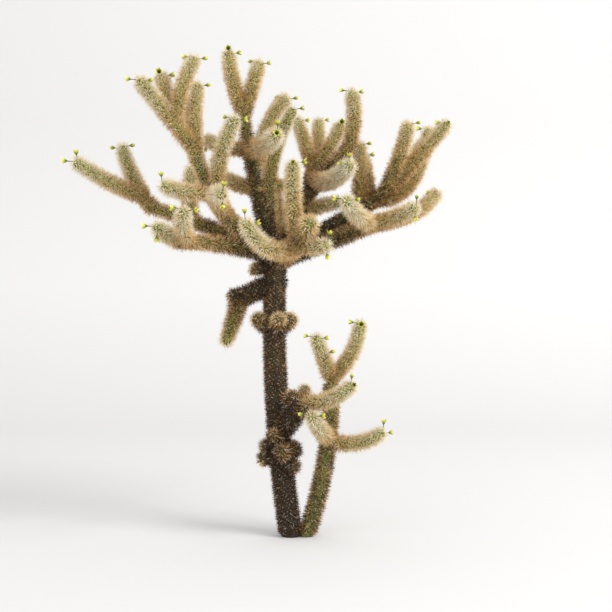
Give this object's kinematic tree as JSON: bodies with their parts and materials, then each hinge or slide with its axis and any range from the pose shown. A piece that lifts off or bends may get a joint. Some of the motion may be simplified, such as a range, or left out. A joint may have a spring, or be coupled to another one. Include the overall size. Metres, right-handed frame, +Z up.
{
  "type": "cholla cactus",
  "caption": "Tree-like cholla cactus: a lean spiny trunk and a thinner side stem from the same foot, under a wide crown of jointed bristly arms tipped with small yellow cup flowers.",
  "frame": {"origin": "middle of the trunk's flat cut at the ground", "axes": "+Z up along the plant; -Y towards the plant's front; +X towards the side on which the thinner second stem stands"},
  "size_m": [1.4292, 1.0712, 1.8113],
  "materials": {
    "old_stem": "matt",
    "bough_coat": "matt",
    "arm_coat": "matt"
  },
  "bodies": {
    "root": {"back_left_arm": "arm_coat", "back_left_bough": "bough_coat", "back_middle_bough": "bough_coat", "back_right_arm": "arm_coat", "back_right_bough": "bough_coat", "front_bough": "bough_coat", "front_left_arm": "arm_coat", "front_right_arm": "arm_coat", "front_upright_arm": "arm_coat", "hanging_arm": "bough_coat", "hanging_limb": "old_stem", "high_left_bough": "bough_coat", "high_left_end_arm": "arm_coat", "high_left_fork_arm": "arm_coat", "high_left_front_arm": "arm_coat", "high_left_inner_arm": "arm_coat", "high_left_rear_arm": "arm_coat", "high_left_side_arm": "arm_coat", "high_left_upright_arm": "arm_coat", "inner_bough": "bough_coat", "left_bough": "bough_coat", "left_end_arm": "arm_coat", "left_rear_arm": "arm_coat", "left_upright_arm": "arm_coat", "low_left_bough": "bough_coat", "low_left_end_arm": "arm_coat", "low_left_front_arm": "arm_coat", "low_right_bough": "bough_coat", "low_right_end_arm": "arm_coat", "low_right_front_arm": "arm_coat", "low_right_rear_arm": "arm_coat", "middle_bough": "bough_coat", "middle_end_arm": "arm_coat", "middle_fork_arm": "arm_coat", "middle_front_arm": "arm_coat", "middle_left_arm": "arm_coat", "middle_low_left_arm": "arm_coat", "middle_right_arm": "arm_coat", "rear_bough": "bough_coat", "rear_end_arm": "arm_coat", "rear_fork_arm": "arm_coat", "rear_front_arm": "arm_coat", "rear_left_arm": "arm_coat", "rear_low_arm": "arm_coat", "rear_right_arm": "arm_coat", "rear_right_knee": "bough_coat", "right_bough": "bough_coat", "right_end_arm": "arm_coat", "right_inner_arm": "arm_coat", "right_middle_arm": "arm_coat", "right_rear_arm": "arm_coat", "right_upright_arm": "arm_coat", "second_stem": "old_stem", "side_limb": "old_stem", "side_limb_arm": "arm_coat", "stem_left_arm": "arm_coat", "stem_low_left_arm": "arm_coat", "stem_low_right_arm": "arm_coat", "stem_right_arm": "arm_coat", "trunk": "old_stem"}
  },
  "joints": []
}
